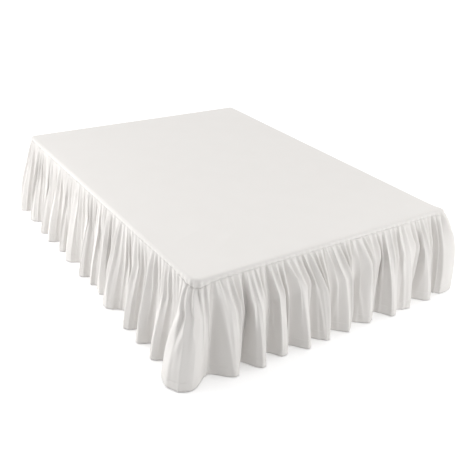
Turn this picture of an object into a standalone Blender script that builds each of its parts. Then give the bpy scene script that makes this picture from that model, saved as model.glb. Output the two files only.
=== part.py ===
"""Gathered bed skirt on a plain bed base, queen size, as solids in metres.

A flat deck of cloth lies on the base and rolls over its edge.  A ruffle with gathers hangs from
the deck's seam on the left side, the foot and the right side, and the head is bare.  The ruffle
is three panels.  All of its folds follow the short tables below, one row for each main fold.
+Z is up, -Y is the foot, and the origin is on the floor under the middle of the whole object.
"""

import math
import random

import bmesh
import bpy
import numpy as np

# Sizes of the bed and of the deck on it
BED_WIDTH = 1.524
BED_LENGTH = 2.032
DECK_TOP = 0.457
LEFT_CORNER = 0.050
RIGHT_CORNER = 0.024
RIGHT_PULL = 0.016
PULL_WIDTH = 0.050
HEAD_CORNER = 0.030
DECK_ROLL = 0.017
ROLL_STEPS = 3
SEAM_DROP = 0.020
KNOT_DROP = 0.020
KNOT_WIDTH = 0.080
CORNER_REGION = 0.100
FOOT_FLARE = 0.140
CENTRE_Y = FOOT_FLARE / 2

# Cloth and clearances
CLOTH = 0.002
GAP = 0.0003
SEAM_GAP = 0.0008
JOIN_GAP = 0.0027
EDGE_CLEAR = 0.010
FLOOR_CLEAR = 0.002

# The plain base under the cloth
BASE_HEIGHT = 0.230
BASE_EDGE = 0.018
BASE_CORNER = 0.045
LEG_TOP_RADIUS = 0.036
LEG_FOOT_RADIUS = 0.026
LEG_SIDES = 20
LEG_INSET_X = 0.080
LEG_INSET_Y = 0.110

# How the ruffle hangs, with heights from 0 at the seam to 1 at the hem
ROW_HEIGHTS = (0.0, 0.04, 0.10, 0.19, 0.30, 0.45, 0.63, 0.82, 1.0)
HEM_LIFT = 0.003
LEAN_SHARE = 0.65
LEFT_FLANK = 0.30
VALLEY_FALL = 1.10
RISE_POWER = 2.0
RISE_SHARE = 0.20
RIDGE_KNEES = (0.24, 0.42)
VALLEY_KNEES = (0.28, 0.50)
RIDGE_SHARE = 0.30
BROAD_SHARE = 0.50
BROAD_FLANK = 0.30
RIDGE_BOW = 0.40
KNEE_ROUND = 10.0
FREE_EDGE_REACH = 0.100

# Main folds, one row each, in metres along their side of the bed.  ridge and reach say where a
# fold stands out at the hem and how far, valley and depth say the same of the hollow after it,
# start is where that hollow begins at the seam, gathers is how many small gathers run in, flank is
# how sharply the fold turns at its ridge, fall is how early it swings out below the seam, and bow
# is how far the hollow swings aside at its knee.
LEFT_FOLDS = (
    # ridge, reach, valley, depth, start, gathers, flank, fall, bow
    (0.934, 0.122, 0.868, 0.063, 0.872, 4, 0.55, 1.45, 0.010),
    (0.764, 0.114, 0.672, 0.053, 0.690, 6, 0.55, 1.45, -0.006),
    (0.566, 0.120, 0.512, 0.063, 0.528, 5, 0.55, 1.45, 0.012),
    (0.450, 0.124, 0.386, 0.053, 0.402, 4, 0.55, 1.45, 0.004),
    (0.301, 0.107, 0.250, 0.063, 0.262, 5, 0.60, 1.45, 0.008),
    (0.186, 0.116, 0.086, 0.048, 0.118, 5, 0.55, 1.45, -0.008),
    (-0.016, 0.114, -0.072, 0.063, -0.046, 6, 0.55, 1.45, 0.012),
    (-0.118, 0.100, -0.158, 0.073, -0.140, 3, 0.50, 1.45, 0.006),
    (-0.222, 0.096, -0.290, 0.058, -0.268, 4, 0.60, 1.45, -0.004),
    (-0.349, 0.122, -0.462, 0.048, -0.430, 6, 0.55, 1.45, 0.010),
    (-0.571, 0.117, -0.636, 0.058, -0.602, 5, 0.55, 1.45, 0.014),
    (-0.701, 0.117, -0.768, 0.053, -0.738, 4, 0.55, 1.45, 0.006),
    (-0.840, 0.116, -0.916, 0.060, -0.872, 4, 0.55, 1.45, 0.010),
)
FOOT_FOLDS = (
    # ridge, reach, valley, depth, start, gathers, flank, fall, bow
    (-0.770, 0.176, -0.712, 0.056, -0.677, 7, 0.15, 1.8, 0.016),
    (-0.615, 0.134, -0.545, 0.048, -0.522, 4, 0.55, 1.45, 0.044),
    (-0.475, 0.143, -0.398, 0.056, -0.396, 4, 0.55, 1.45, 0.030),
    (-0.336, 0.122, -0.272, 0.063, -0.297, 3, 0.55, 1.45, 0.018),
    (-0.205, 0.138, -0.148, 0.068, -0.196, 3, 0.55, 1.45, 0.014),
    (-0.085, 0.128, -0.018, 0.064, -0.066, 4, 0.55, 1.45, 0.015),
    (0.050, 0.126, 0.112, 0.060, 0.104, 5, 0.55, 1.45, 0.028),
    (0.190, 0.118, 0.288, 0.053, 0.277, 5, 0.55, 1.45, 0.042),
    (0.350, 0.138, 0.408, 0.104, 0.412, 4, 0.30, 1.45, 0.014),
    (0.466, 0.124, 0.547, 0.054, 0.547, 4, 0.55, 1.45, 0.048),
    (0.622, 0.122, 0.700, 0.066, 0.672, 4, 0.55, 1.45, 0.010),
)
# The right side is hidden in the photograph: its folds vary evenly round these sizes.
RIGHT_CORNER_FOLD = (0.775, 0.118, 0.105, 0.050, 0.115, 7, 0.30, 3.0, 0.0)
RIGHT_FOLD_COUNT = 13
RIGHT_REACH = (0.104, 0.126)
RIGHT_DEPTH = (0.040, 0.058)
RIGHT_SHIFT = 0.018
RIGHT_GATHERS = 3
RIGHT_FLANK = 0.75
RIGHT_FALL = 1.6
RIGHT_BOW = 0.012
FOLD_SEED = 11

# Small gathers inside the folds: short ones near the seam, and long ones that run on to the hem
MEAN_FALL = 1.35
SEAM_GATHER = 0.0014
GATHER_DEPTH = 0.0165
GATHER_BACK = 0.50
FRONT_RISE = 0.080
BACK_RISE = 0.075
SEAM_FULLNESS = 0.70
HEM_FULLNESS = 1.80
GATHER_SKEW = 0.22
GATHER_FADE = 0.05
GATHER_REST = 0.20
GATHER_JITTER = 0.24
SHORT_SIZES = (0.55, 1.15)
SHORT_REACHES = (0.18, 0.60)
LONG_SHARE = 0.60
LONG_SIZES = (1.00, 1.60)
LONG_REACHES = (0.60, 1.10)
GATHER_LEAN = 0.012
KNEE_HEIGHTS = (0.14, 0.38)
KNEE_LENGTHS = (0.05, 0.11)
KNEE_SIDE = 0.010
KNEE_OUT = 0.005
GATHER_SEED = 21
FULL_PITCH = 0.030
HEM_GATHER = 0.30
CORNER_CALM = 0.60
LEFT_CALM = 0.30
CALM_FADE = 0.030
CALM_WIDTH = 0.150
CREST_SHARE = 0.60
RIDGE_CLEAR = 0.06
END_SHARES = (0.12, 0.93)


def clear_scene():
    """Remove what the file holds, so that the part stands alone."""
    for thing in list(bpy.data.objects):
        bpy.data.objects.remove(thing, do_unlink=True)


def make_material(name, colour, roughness, metallic=0.0):
    material = bpy.data.materials.new(name)
    material.use_nodes = True
    shader = material.node_tree.nodes["Principled BSDF"]
    shader.inputs["Base Color"].default_value = (*colour, 1.0)
    shader.inputs["Roughness"].default_value = roughness
    shader.inputs["Metallic"].default_value = metallic
    material.diffuse_color = (*colour, 1.0)
    return material


def add_object(name, mesh, material, collection):
    piece = bpy.data.objects.new(name, mesh)
    piece.data.materials.append(material)
    collection.objects.link(piece)
    return piece


def mix(low, high, share):
    return low + (high - low) * share


# Distance round the edge runs from the head's left corner, by the foot, to the head's right one.
# The seam and the ruffle start and end where the head's rounded corners do.
FRONT_LEFT = BED_LENGTH
FRONT_RIGHT = BED_LENGTH + BED_WIDTH
EDGE_START = HEAD_CORNER
EDGE_END = FRONT_RIGHT + BED_LENGTH - HEAD_CORNER


def edge_point(distance, outward):
    """Plan position at a distance round the bed's edge, and so far outward of it."""
    outward = outward + RIGHT_PULL * np.exp(-(((distance - FRONT_RIGHT) / PULL_WIDTH) ** 2))
    distance, outward = np.broadcast_arrays(distance, outward)
    half_width = BED_WIDTH / 2
    half_length = BED_LENGTH / 2
    x = np.where(distance < FRONT_LEFT, -half_width - outward, distance - FRONT_LEFT - half_width)
    y = np.where(distance < FRONT_LEFT, half_length - distance, -half_length - outward)
    beyond = distance >= FRONT_RIGHT
    x = np.where(beyond, half_width + outward, x)
    y = np.where(beyond, distance - FRONT_RIGHT - half_length, y)
    for corner, side, radius in ((FRONT_LEFT, -1, LEFT_CORNER), (FRONT_RIGHT, 1, RIGHT_CORNER)):
        near = np.abs(distance - corner) < radius
        turn = (distance - corner + radius) / (2 * radius) * math.pi / 2
        across, along = np.cos(turn), np.sin(turn)
        if side > 0:
            across, along = along, across
        reach = radius + outward
        x = np.where(near, side * (half_width - radius + reach * across), x)
        y = np.where(near, -(half_length - radius) - reach * along, y)
    return x, y + CENTRE_Y


def right_folds():
    """Rows for the right side, in metres from the front corner towards the head."""
    draw = random.Random(FOLD_SEED)
    corner_valley = RIGHT_CORNER_FOLD[2]
    corner_lean = RIGHT_CORNER_FOLD[4] - corner_valley
    pitch = (BED_LENGTH - corner_valley) / (RIGHT_FOLD_COUNT + 0.5)
    rows = []
    for number in range(RIGHT_FOLD_COUNT):
        ridge = corner_valley + (number + 0.5) * pitch + draw.uniform(-RIGHT_SHIFT, RIGHT_SHIFT)
        valley = corner_valley + (number + 1) * pitch + draw.uniform(-RIGHT_SHIFT, RIGHT_SHIFT)
        start = valley + corner_lean * (1 - number / RIGHT_FOLD_COUNT)
        reach, depth = draw.uniform(*RIGHT_REACH), draw.uniform(*RIGHT_DEPTH)
        bow = draw.uniform(-RIGHT_BOW, RIGHT_BOW)
        rows.append((ridge, reach, valley, depth, start, RIGHT_GATHERS, RIGHT_FLANK, RIGHT_FALL, bow))
    return rows


def fold_rows():
    """Every main fold in order, its places as distances round the edge."""
    middle_left = BED_LENGTH / 2
    middle_foot = BED_LENGTH + BED_WIDTH / 2
    rows = []
    for ridge, reach, valley, depth, start, *rest in LEFT_FOLDS:
        rows.append((middle_left - ridge, reach, middle_left - valley, depth, middle_left - start, *rest))
    for ridge, reach, valley, depth, start, *rest in FOOT_FOLDS:
        rows.append((middle_foot + ridge, reach, middle_foot + valley, depth, middle_foot + start, *rest))
    ridge, reach, valley, depth, start, *rest = RIGHT_CORNER_FOLD
    rows.append((middle_foot + ridge, reach, FRONT_RIGHT + valley, depth, FRONT_RIGHT + start, *rest))
    for ridge, reach, valley, depth, start, *rest in right_folds():
        rows.append((FRONT_RIGHT + ridge, reach, FRONT_RIGHT + valley, depth, FRONT_RIGHT + start, *rest))
    return rows


def fold_lines(rows):
    """Ridge and valley lines from head to head: hem place, reach, seam place, knee and bow."""
    draw = random.Random(FOLD_SEED)
    lines = [(EDGE_START, FREE_EDGE_REACH, EDGE_START, RIDGE_KNEES[0], 0.0)]
    for number, (ridge, reach, valley, depth, start, gathers, flank, fall, bow) in enumerate(rows):
        ridge_start = mix(lines[-1][2], start, BROAD_SHARE if flank <= BROAD_FLANK else RIDGE_SHARE)
        lines.append((ridge, reach, ridge_start, draw.uniform(*RIDGE_KNEES), RIDGE_BOW * bow))
        if number == len(rows) - 1:
            valley, depth, start = EDGE_END, FREE_EDGE_REACH, EDGE_END
        lines.append((valley, depth, start, draw.uniform(*VALLEY_KNEES), bow))
    return lines


ROWS = fold_rows()
LINES = np.array(fold_lines(ROWS))
GATHERS = np.array([row[5] for row in ROWS])
FLANKS = np.array([row[6] for row in ROWS])
FALLS = np.array([row[7] for row in ROWS])
RIDGE_SHARES = np.where(FLANKS <= BROAD_FLANK, BROAD_SHARE, RIDGE_SHARE)


def column_traits(fold_place):
    """Hem place, reach, seam place, knee, nearness to the ridge, fall and bow of each column."""
    place = np.minimum(2 * fold_place, len(LINES) - 1 - 1e-9)
    line = np.floor(place).astype(int)
    part = place - line
    first, second = LINES[line], LINES[line + 1]
    falling = line % 2 == 1
    round_part = (1 - np.cos(math.pi * part)) / 2
    own_flank = FLANKS[np.minimum(line // 2, len(ROWS) - 1)]
    round_part = np.where(falling, round_part, mix(round_part, part**RISE_POWER, RISE_SHARE * own_flank))
    flank = np.where(falling, own_flank, LEFT_FLANK)
    bulge = np.sin(2 * math.pi * part) / (2 * math.pi) * (second[:, 0] - first[:, 0]) * flank
    hem = mix(first[:, 0], second[:, 0], part) + np.where(falling, bulge, -bulge)
    reach = mix(first[:, 1], second[:, 1], round_part)
    start = mix(first[:, 2], second[:, 2], part)
    knee = mix(first[:, 3], second[:, 3], round_part)
    ridge = np.where(falling, 1 - round_part, round_part)
    fall = mix(VALLEY_FALL, FALLS[np.minimum(line // 2, len(ROWS) - 1)], ridge)
    bow = mix(first[:, 4], second[:, 4], round_part)
    return hem, reach, start, knee, ridge, fall, bow


def gather_traits():
    """Each gather's start, size, reach down, lean, knee height, knee length and knee size."""
    draw = random.Random(GATHER_SEED)
    traits = []
    edges = [EDGE_START] + [row[4] for row in ROWS[:-1]] + [EDGE_END]
    for fold, row in enumerate(ROWS):
        pitch = (edges[fold + 1] - edges[fold]) / row[5]
        room = min(1.0, pitch / FULL_PITCH)
        for number in range(row[5]):
            shift = draw.uniform(-GATHER_JITTER, GATHER_JITTER) if number else 0.0
            long = draw.random() < LONG_SHARE * row[6]
            size = room * draw.uniform(*(LONG_SIZES if long else SHORT_SIZES))
            reach_down = draw.uniform(*(LONG_REACHES if long else SHORT_REACHES))
            lean = draw.uniform(-1, 1)
            knee, length = draw.uniform(*KNEE_HEIGHTS), draw.uniform(*KNEE_LENGTHS)
            bend = draw.uniform(-0.6, 1)
            traits.append((len(traits) + shift, size, reach_down, lean, knee, length, max(0.0, bend)))
    return np.array(traits)


TRAITS = gather_traits()
FIRST_GATHER = np.concatenate([[0], np.cumsum(GATHERS)])


def gather_at(fold_place):
    """Which gather each column lies in, and its share of that gather."""
    fold = np.minimum(np.floor(fold_place).astype(int), len(ROWS) - 1)
    part = 2 * (fold_place - fold)
    share = RIDGE_SHARES[fold]
    seam_share = np.where(part < 1, share * part, mix(share, 1.0, part - 1))
    place = FIRST_GATHER[fold] + GATHERS[fold] * seam_share
    starts = np.append(TRAITS[:, 0], len(TRAITS))
    number = np.clip(np.searchsorted(starts, place, side="right") - 1, 0, len(TRAITS) - 1)
    return number, (place - starts[number]) / (starts[number + 1] - starts[number])


def add_gathers(fold_place, start, height, outward, along):
    """Small gathers: each stands out, leans to a side, and may bend at a knee."""
    number, inside = gather_at(fold_place)
    inside = inside[:, None]
    size, reach_down, lean, knee, length, bend = TRAITS[number, 1:].T[:, :, None]
    skewed = inside - GATHER_SKEW * np.minimum(1.0, 2 * height) * np.sin(math.pi * inside) ** 2
    crest = (1 - np.cos(2 * math.pi * skewed)) / 2
    crest = crest ** mix(SEAM_FULLNESS, HEM_FULLNESS, np.minimum(1.0, 1.5 * height))
    mean_fall = 1 - (1 - height) ** MEAN_FALL
    depth = GATHER_DEPTH * mix(HEM_GATHER, 1.0, np.sqrt(1 - mean_fall**2))
    stay = mix(GATHER_REST, 1.0, 1 / (1 + np.exp((height - reach_down) / GATHER_FADE)))
    front = size * stay * crest * (1 - np.exp(-height / FRONT_RISE))
    back = GATHER_BACK * (1 - np.exp(-height / BACK_RISE)) * (1 - height)
    calm = 1 - CORNER_CALM * np.exp(-(((start - FRONT_LEFT) / CALM_WIDTH) ** 2))[:, None]
    calm *= 1 - LEFT_CALM / (1 + np.exp((start - FRONT_LEFT) / CALM_FADE))[:, None]
    outward += calm * depth * (front - back) + SEAM_GATHER * (2 * crest - 1)
    along += lean * GATHER_LEAN * crest * stay * np.minimum(1.0, height / 0.3)
    kink = calm * bend * crest * np.exp(-np.abs(height - knee) / length) * np.minimum(1.0, height / 0.08)
    outward += KNEE_OUT * kink
    along += KNEE_SIDE * kink


def column_places(first_fold, last_fold):
    """Fold places of the columns: at each gather's start, near its crest, and at each ridge."""
    starts = np.append(TRAITS[:, 0], len(TRAITS))
    places = []
    for fold in range(first_fold, last_fold):
        share = RIDGE_SHARES[fold]
        fold_places = [fold + 0.5]
        for number in range(FIRST_GATHER[fold], FIRST_GATHER[fold + 1]):
            for gather_share in (0.0, CREST_SHARE):
                place = mix(starts[number], starts[number + 1], gather_share)
                seam_share = (place - FIRST_GATHER[fold]) / GATHERS[fold]
                if seam_share < share:
                    column = fold + seam_share / share / 2
                else:
                    column = fold + (1 + (seam_share - share) / (1 - share)) / 2
                if abs(column - fold - 0.5) > RIDGE_CLEAR:
                    fold_places.append(column)
        places += sorted(fold_places)
    return places


def rim_stations():
    """Distances round the edge at which the deck's rim has a point, close together at corners."""
    stations = []
    for fold in range(len(ROWS)):
        starts = column_traits(np.array(column_places(fold, fold + 1)))[2].tolist()
        nearest = min(abs(start - corner) for start in starts for corner in (FRONT_LEFT, FRONT_RIGHT))
        stations += starts if nearest < CORNER_REGION else starts[:1]
    return np.array(stations + [EDGE_END])


RIM = rim_stations()
RIM_DROPS = SEAM_DROP + KNOT_DROP * np.exp(-(((RIM - FRONT_LEFT) / KNOT_WIDTH) ** 2))


def ruffle_points(fold_place, height, shift):
    """Points of the ruffle's middle surface, one row for each column.  shift moves each column."""
    hem, reach, start, knee, ridge, fall, bow = column_traits(fold_place)
    down = height[None, :]
    lean = LEAN_SHARE * np.minimum(1.0, down / knee[:, None]) + (1 - LEAN_SHARE) * down
    outward = reach[:, None] * (1 - (1 - down) ** fall[:, None])
    along = mix(start[:, None], hem[:, None], lean) + shift[:, None]
    to_knee, to_hem = down / knee[:, None], (1 - down) / (1 - knee[:, None])
    along -= bow[:, None] * np.logaddexp(-KNEE_ROUND * to_knee, -KNEE_ROUND * to_hem) / KNEE_ROUND
    add_gathers(fold_place, start, down, outward, along)
    top = DECK_TOP - SEAM_GAP - np.interp(start, RIM, RIM_DROPS)
    z = mix(top[:, None], (FLOOR_CLEAR + HEM_LIFT * ridge)[:, None], down)
    x, y = edge_point(along, outward)
    return np.stack([x, y, z], axis=-1)


def build_ruffle(name, first_fold, last_fold, material, collection):
    """One panel of the ruffle: a loft of wavy rows from its seam to its hem, made thick."""
    places = column_places(first_fold, last_fold)
    first_step, last_step = places[2] - places[0], last_fold - places[-2]
    places.insert(1, places[0] + END_SHARES[0] * first_step)
    places = np.array(places + [places[-2] + END_SHARES[1] * last_step, last_fold])
    shift = np.zeros(len(places))
    shift[0], shift[-1] = JOIN_GAP / 2, -JOIN_GAP / 2
    points = ruffle_points(places, np.array(ROW_HEIGHTS), shift)
    number = np.arange(len(places) * len(ROW_HEIGHTS)).reshape(len(places), len(ROW_HEIGHTS))
    corners = (number[:-1, :-1], number[:-1, 1:], number[1:, 1:], number[1:, :-1])
    faces = np.stack([corner.ravel() for corner in corners], axis=1)
    shell = bpy.data.meshes.new(name)
    shell.from_pydata(points.reshape(-1, 3).tolist(), [], faces.tolist())
    shell.shade_smooth()
    piece = add_object(name, shell, material, collection)
    wall = piece.modifiers.new("cloth", "SOLIDIFY")
    wall.thickness = CLOTH
    wall.offset = 0.0
    return piece


def deck_outline(inset, drops):
    """One ring of the deck: its plan outline inset from the edge, each point at its own drop."""
    x, y = edge_point(RIM, -inset)
    ring = list(zip(x.tolist(), y.tolist(), (DECK_TOP - drops).tolist()))
    arc_steps = 4
    radius = HEAD_CORNER - inset
    centre_x = BED_WIDTH / 2 - HEAD_CORNER
    centre_y = BED_LENGTH / 2 - HEAD_CORNER + CENTRE_Y
    turns = [math.pi / 2 * step / arc_steps for step in range(1, arc_steps + 1)]
    head_height = DECK_TOP - drops[0]
    for turn in turns:
        x, y = centre_x + radius * math.cos(turn), centre_y + radius * math.sin(turn)
        ring.append((x, y, head_height))
    for turn in reversed([0.0] + turns[:-1]):
        x, y = -centre_x - radius * math.cos(turn), centre_y + radius * math.sin(turn)
        if turn > 0:
            ring.append((x, y, head_height))
    ring.insert(len(RIM) + arc_steps, (-centre_x, centre_y + radius, head_height))
    return ring


def build_deck(material, collection):
    """The flat deck: one sheet over the base, rolled over its edge down to the seam."""
    mesh = bmesh.new()
    rings = []
    for step in range(ROLL_STEPS + 1):
        turn = math.pi / 2 * step / ROLL_STEPS
        inset = DECK_ROLL * (1 - math.sin(turn))
        drop = DECK_ROLL * (1 - math.cos(turn))
        rings.append(deck_outline(inset, np.full(len(RIM), drop)))
    rings.append(deck_outline(0.0, RIM_DROPS))
    loops = [[mesh.verts.new(point) for point in ring] for ring in rings]
    mesh.faces.new(loops[0])
    for upper, lower in zip(loops, loops[1:]):
        for number in range(len(upper)):
            after = (number + 1) % len(upper)
            mesh.faces.new((upper[number], lower[number], lower[after], upper[after]))
    bmesh.ops.recalc_face_normals(mesh, faces=mesh.faces)
    shell = bpy.data.meshes.new("deck")
    mesh.to_mesh(shell)
    mesh.free()
    piece = add_object("deck", shell, material, collection)
    wall = piece.modifiers.new("cloth", "SOLIDIFY")
    wall.thickness = CLOTH
    wall.offset = -1.0
    return piece


def build_base(material, collection):
    """The plain base: one box with softened edges, just under the deck."""
    top = DECK_TOP - CLOTH - GAP
    mesh = bmesh.new()
    bmesh.ops.create_cube(mesh, size=1.0)
    size = (BED_WIDTH - 2 * EDGE_CLEAR, BED_LENGTH - 2 * EDGE_CLEAR, BASE_HEIGHT)
    bmesh.ops.scale(mesh, vec=size, verts=mesh.verts)
    bmesh.ops.translate(mesh, vec=(0.0, CENTRE_Y, top - BASE_HEIGHT / 2), verts=mesh.verts)
    upright = [edge for edge in mesh.edges if edge.verts[0].co.xy == edge.verts[1].co.xy]
    bmesh.ops.bevel(mesh, geom=upright, offset=BASE_CORNER, segments=5, profile=0.5, affect="EDGES")
    box = bpy.data.meshes.new("base")
    mesh.to_mesh(box)
    mesh.free()
    piece = add_object("base", box, material, collection)
    soften = piece.modifiers.new("edges", "BEVEL")
    soften.width = BASE_EDGE
    soften.segments = 3
    soften.limit_method = "ANGLE"
    return piece


def build_legs(material, collection):
    """Six tapered legs that carry the base, in two rows of three."""
    height = DECK_TOP - CLOTH - GAP - BASE_HEIGHT - GAP
    across = BED_WIDTH / 2 - EDGE_CLEAR - LEG_INSET_X
    along = BED_LENGTH / 2 - EDGE_CLEAR - LEG_INSET_Y
    for side, x in (("left", -across), ("right", across)):
        for place, y in (("foot", -along), ("middle", 0.0), ("head", along)):
            mesh = bmesh.new()
            bmesh.ops.create_cone(
                mesh,
                cap_ends=True,
                segments=LEG_SIDES,
                radius1=LEG_FOOT_RADIUS,
                radius2=LEG_TOP_RADIUS,
                depth=height,
            )
            leg = bpy.data.meshes.new("leg_" + side + "_" + place)
            mesh.to_mesh(leg)
            mesh.free()
            leg.shade_smooth()
            leg.set_sharp_from_angle(angle=math.radians(40))
            piece = add_object(leg.name, leg, material, collection)
            piece.location = (x, y + CENTRE_Y, height / 2)


def main():
    clear_scene()
    collection = bpy.data.collections.new("bed_skirt")
    bpy.context.scene.collection.children.link(collection)
    white_cotton = make_material("white cotton", (0.86, 0.85, 0.84), 0.9)
    base_cloth = make_material("base cloth", (0.72, 0.70, 0.67), 0.95)
    leg_wood = make_material("leg wood", (0.45, 0.30, 0.17), 0.5)
    corner_fold = len(LEFT_FOLDS)
    foot_end = corner_fold + len(FOOT_FOLDS)
    build_base(base_cloth, collection)
    build_legs(leg_wood, collection)
    build_deck(white_cotton, collection)
    build_ruffle("ruffle_left", 0, corner_fold + 1, white_cotton, collection)
    build_ruffle("ruffle_foot", corner_fold + 1, foot_end, white_cotton, collection)
    build_ruffle("ruffle_right", foot_end, len(ROWS), white_cotton, collection)


main()
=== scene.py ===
# %% [markdown]
# # A gathered bed skirt, dressed for its picture
#
# A bed skirt is a flat deck of cloth that lies between mattress and base, with a ruffle sewn round
# it that hides the legs. The solids of this object already have the right sizes and main folds.
# This lesson makes their looks: thin cloth with gathers, creases, hem and stitches, a woven cotton
# finish, plain wood and cover cloth underneath, and a soft white studio.
#
# The first cell loads the solids, which stay where they are.

import math
import random

import bpy
import numpy as np
from mathutils import Matrix, Vector


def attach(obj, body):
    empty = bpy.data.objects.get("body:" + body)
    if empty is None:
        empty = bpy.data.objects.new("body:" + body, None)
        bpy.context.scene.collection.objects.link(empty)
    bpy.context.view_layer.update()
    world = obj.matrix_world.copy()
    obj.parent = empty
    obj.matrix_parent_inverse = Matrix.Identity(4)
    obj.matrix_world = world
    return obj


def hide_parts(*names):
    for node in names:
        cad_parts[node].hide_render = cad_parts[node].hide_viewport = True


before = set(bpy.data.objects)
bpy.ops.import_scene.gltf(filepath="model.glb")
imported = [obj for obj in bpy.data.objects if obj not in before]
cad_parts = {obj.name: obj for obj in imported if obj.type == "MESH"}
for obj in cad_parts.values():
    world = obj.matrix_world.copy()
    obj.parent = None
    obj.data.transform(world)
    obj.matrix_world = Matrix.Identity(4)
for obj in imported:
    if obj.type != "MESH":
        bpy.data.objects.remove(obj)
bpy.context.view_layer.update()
print("Solids:", sorted(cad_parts))

# %% [markdown]
# ## The camera
#
# The camera comes first, because everything else is judged through it. It stands a little above
# head height, off the foot end of the bed on the left, and looks down over the front left corner.
# It could be aimed at a target object, but turning it by three angles keeps the slight tilt of a
# hand-held picture: heading to the right, nodding down, and rolling about its own view.

# %% Place the camera
PICTURE_WIDTH = 470
FOCAL_PIXELS = 673.8
SENSOR = 36.0
CAMERA_PLACE = (-1.9907, -2.9743, 1.9044)
CAMERA_HEADING = math.radians(35.06)
CAMERA_NOD = math.radians(27.21)
CAMERA_ROLL = math.radians(3.14)

camera_data = bpy.data.cameras.new("camera")
camera_data.sensor_width = SENSOR
camera_data.lens = FOCAL_PIXELS / PICTURE_WIDTH * SENSOR
camera = bpy.data.objects.new("camera", camera_data)
bpy.context.scene.collection.objects.link(camera)
heading = Matrix.Rotation(-CAMERA_HEADING, 4, "Z")
nod = Matrix.Rotation(math.pi / 2 - CAMERA_NOD, 4, "X")
roll = Matrix.Rotation(CAMERA_ROLL, 4, "Z")
camera.matrix_world = Matrix.Translation(CAMERA_PLACE) @ heading @ nod @ roll
bpy.context.scene.camera = camera
print("Lens:", round(camera_data.lens, 1), "mm")

# %% [markdown]
# ## Sizes of the bed
#
# Cloth has to lie on its solid, so the sizes here are the solid's own, in metres. Places on the
# ruffle are given as one distance round the bed's edge: it starts at the head's left corner, runs
# down the left side, round the foot and up the right side, as the seam of the real skirt does.

# %% Sizes of the bed
BED_WIDTH = 1.524
BED_LENGTH = 2.032
DECK_TOP = 0.457
CENTRE_Y = 0.070
HEAD_CORNER = 0.030

FRONT_LEFT = BED_LENGTH
FRONT_RIGHT = BED_LENGTH + BED_WIDTH
EDGE_START = HEAD_CORNER
EDGE_END = FRONT_RIGHT + BED_LENGTH - HEAD_CORNER
print("Seam length:", round(EDGE_END - EDGE_START, 3), "m")

# %% [markdown]
# ## Walking round the bed
#
# One function turns a distance, with how far outward a point stands, into a place in plan. It
# takes whole arrays at once, because the ruffle has some hundred thousand points, and it rounds
# the two front corners as the deck does. A curve modifier on a straight strip would do much the
# same, but would squeeze the folds there. At the right corner the cloth is pulled out a little.

# %% From distance to place
LEFT_CORNER = 0.050
RIGHT_CORNER = 0.024
RIGHT_PULL = 0.016
PULL_WIDTH = 0.050


def mix(low, high, share):
    """A value between two others."""
    return low + (high - low) * share


def ease(part):
    """From 0 to 1 with soft ends, and from 1 to 2 back again."""
    return (1 - np.cos(math.pi * part)) / 2


def bell(distance, width):
    """1 at a place, and softly down to nothing on both sides of it."""
    return np.exp(-((distance / width) ** 2))


def edge_point(distance, outward):
    """Plan position at a distance round the bed's edge, and so far outward of it."""
    outward = outward + RIGHT_PULL * bell(distance - FRONT_RIGHT, PULL_WIDTH)
    distance, outward = np.broadcast_arrays(distance, outward)
    half_width = BED_WIDTH / 2
    half_length = BED_LENGTH / 2
    x = np.where(distance < FRONT_LEFT, -half_width - outward, distance - FRONT_LEFT - half_width)
    y = np.where(distance < FRONT_LEFT, half_length - distance, -half_length - outward)
    beyond = distance >= FRONT_RIGHT
    x = np.where(beyond, half_width + outward, x)
    y = np.where(beyond, distance - FRONT_RIGHT - half_length, y)
    for corner, side, radius in ((FRONT_LEFT, -1, LEFT_CORNER), (FRONT_RIGHT, 1, RIGHT_CORNER)):
        near = np.abs(distance - corner) < radius
        turn = (distance - corner + radius) / (2 * radius) * math.pi / 2
        across, along = np.cos(turn), np.sin(turn)
        if side > 0:
            across, along = along, across
        reach = radius + outward
        x = np.where(near, side * (half_width - radius + reach * across), x)
        y = np.where(near, -(half_length - radius) - reach * along, y)
    return x, y + CENTRE_Y


corner_place = [round(float(value), 3) for value in edge_point(FRONT_LEFT, 0.0)]
print("Front left corner in plan:", corner_place)

# %% [markdown]
# ## The seam
#
# The deck and the ruffle meet in a seam two centimetres below the deck's top. It isn't a straight
# line: every gather tugs at it, and at the front left corner the cloth is bunched into a knot that
# makes the seam sag. Deck and ruffle both take their edge from these functions, so they meet.

# %% Sag and waver of the seam
SEAM_DROP = 0.020
KNOT_DROP = 0.020
KNOT_WIDTH = 0.080
SEAM_GATHER = 0.0018
KNOT_GATHER = 0.8


def near_knot(distance):
    """1 at the knot of cloth on the front left corner, and less on both sides of it."""
    return bell(distance - FRONT_LEFT, KNOT_WIDTH)


def seam_height(distance):
    """Height of the seam, which sags at the knot."""
    return DECK_TOP - SEAM_DROP - KNOT_DROP * near_knot(distance)


def seam_waver(distance, crest):
    """How far the seam stands out where gathers tug at it, most of all at the knot."""
    return SEAM_GATHER * (1 + KNOT_GATHER * near_knot(distance)) * (2 * crest - 1)


print("Seam height at the knot:", round(float(seam_height(FRONT_LEFT)), 3), "m")

# %% [markdown]
# ## Tables of the folds
#
# The ruffle's shape comes from a short table for each side, in metres along that side. One row is
# one main fold: where it stands out at the hem and how far, where the hollow after it lies and how
# far out, and where that hollow starts at the seam. Then come how many small gathers run into the
# fold, how sharply it turns in at its flank, how early it swings out below the seam, and how far
# its hollow bows aside at its knee, part of the way down.
#
# The folds could also be left to chance, but then the picture's big fold at the corner and its
# uneven hem would never come back.

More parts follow.
